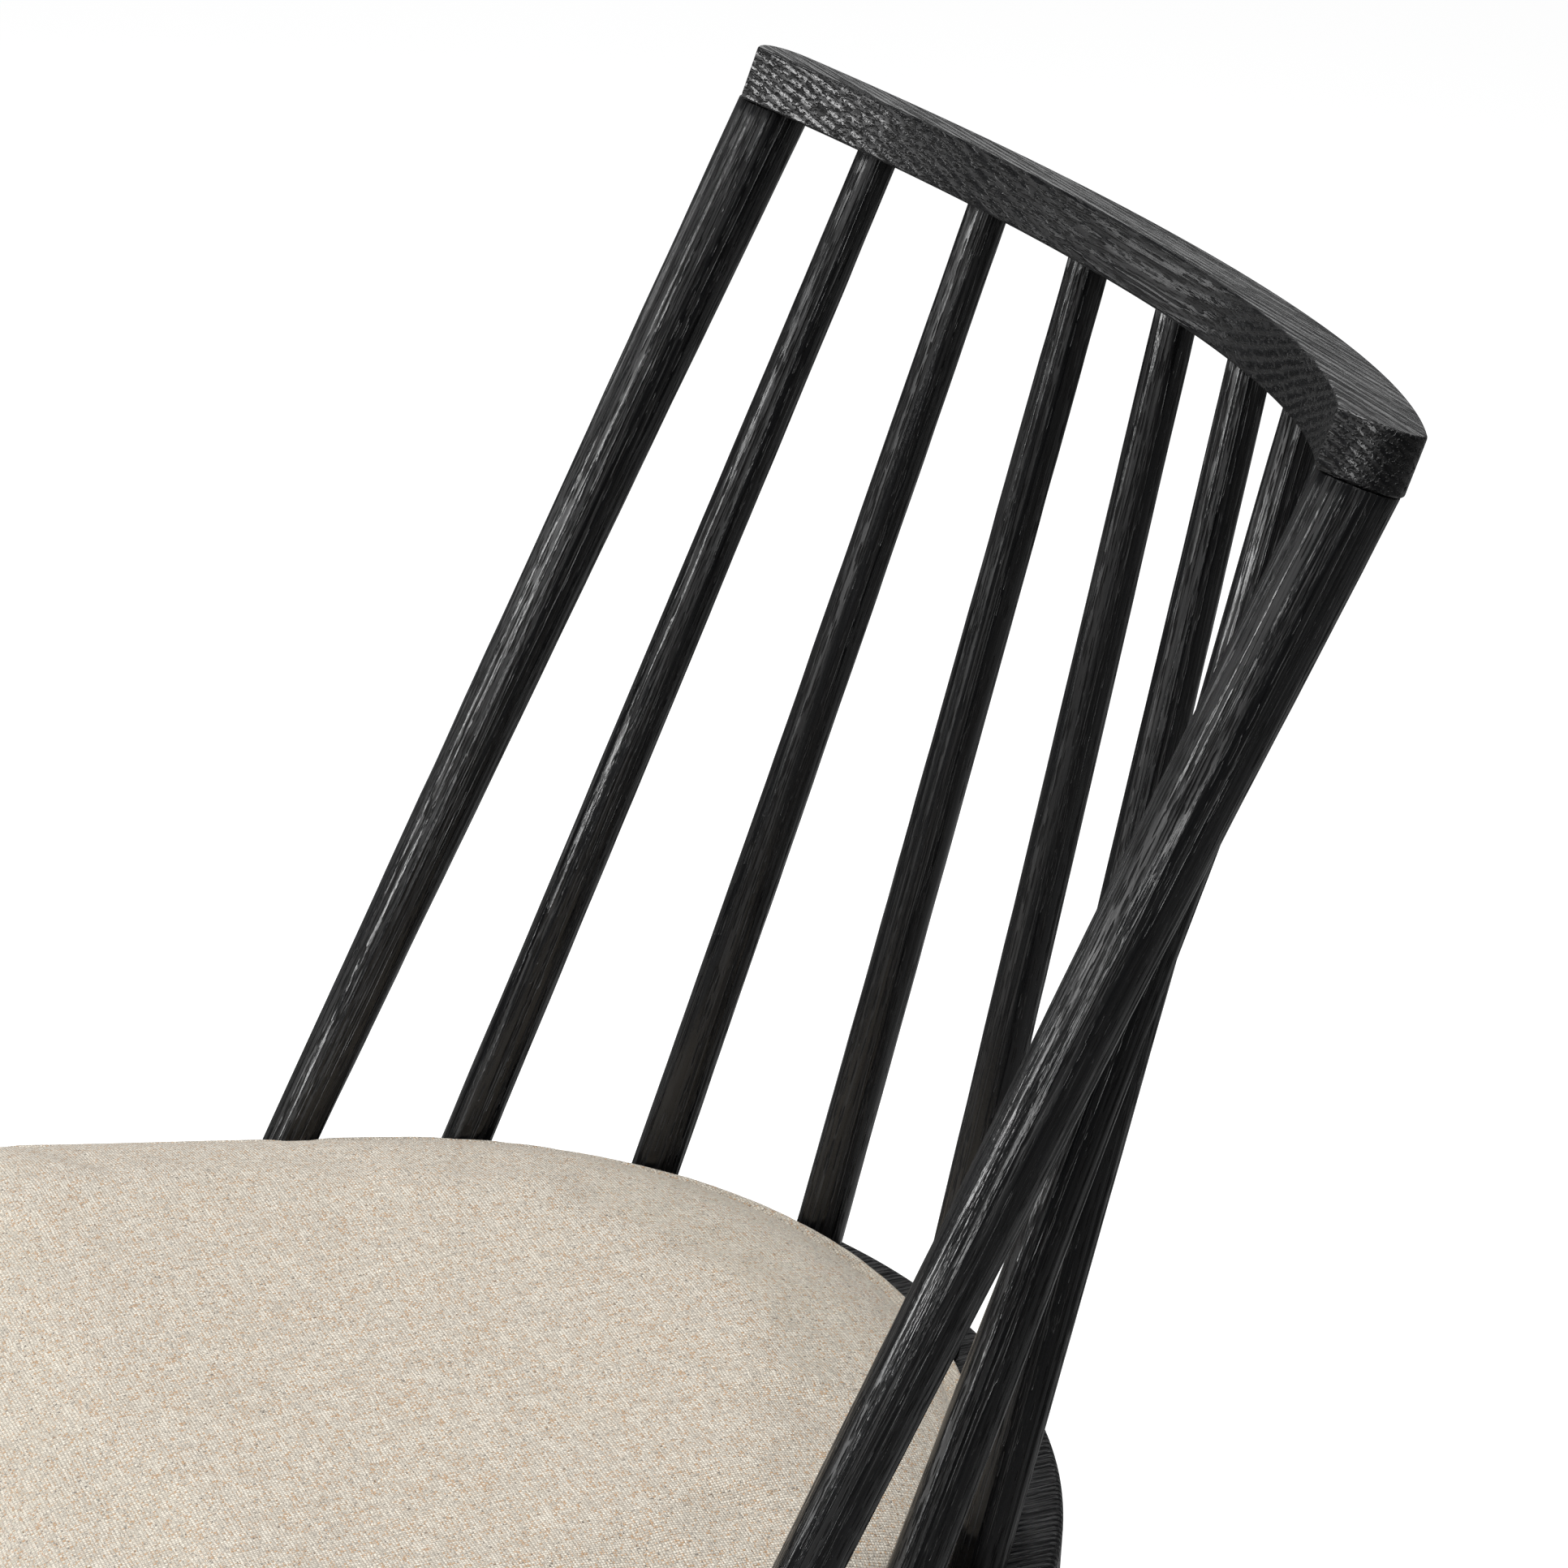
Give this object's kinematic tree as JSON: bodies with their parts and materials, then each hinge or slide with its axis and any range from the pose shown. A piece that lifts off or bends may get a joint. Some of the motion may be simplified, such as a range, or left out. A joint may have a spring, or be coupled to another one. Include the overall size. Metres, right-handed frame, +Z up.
{
  "type": "spindle-back side chair",
  "caption": "Black-stained oak spindle-back side chair with a bowed crest rail, raked end posts, a round-backed plank seat and an oatmeal fabric pad.",
  "frame": {"origin": "on the floor, at the centre of the chair's outer box in X and Y", "axes": "+Z up; the chair faces -Y and its back is at +Y; +X is the sitter's left"},
  "size_m": [0.542, 0.506, 0.8631],
  "materials": {
    "black_oak": "black-stained open-grain oak, brushed, satin lacquer",
    "pad_fabric": "oatmeal plain-weave linen-look fabric with heathered flecks",
    "plywood": "raw birch plywood",
    "steel": "zinc-plated steel",
    "glide_nylon": "moulded nylon"
  },
  "bodies": {
    "root": {"crest_rail": "black_oak", "end_post_left": "black_oak", "end_post_right": "black_oak", "back_spindle_1": "black_oak", "back_spindle_2": "black_oak", "back_spindle_3": "black_oak", "back_spindle_4": "black_oak", "back_spindle_5": "black_oak", "back_spindle_6": "black_oak", "back_spindle_7": "black_oak", "seat_plank": "black_oak", "leg_front_left": "black_oak", "leg_front_right": "black_oak", "leg_rear_left": "black_oak", "leg_rear_right": "black_oak", "side_stretcher_left": "black_oak", "side_stretcher_right": "black_oak", "cross_stretcher": "black_oak", "seat_pad": "pad_fabric", "pad_board": "plywood", "glide_pad_front_left": "glide_nylon", "glide_nail_front_left": "steel", "glide_pad_front_right": "glide_nylon", "glide_nail_front_right": "steel", "glide_pad_rear_left": "glide_nylon", "glide_nail_rear_left": "steel", "glide_pad_rear_right": "glide_nylon", "glide_nail_rear_right": "steel", "pad_screw_1": "steel", "pad_screw_2": "steel", "pad_screw_3": "steel", "pad_screw_4": "steel"}
  },
  "joints": []
}
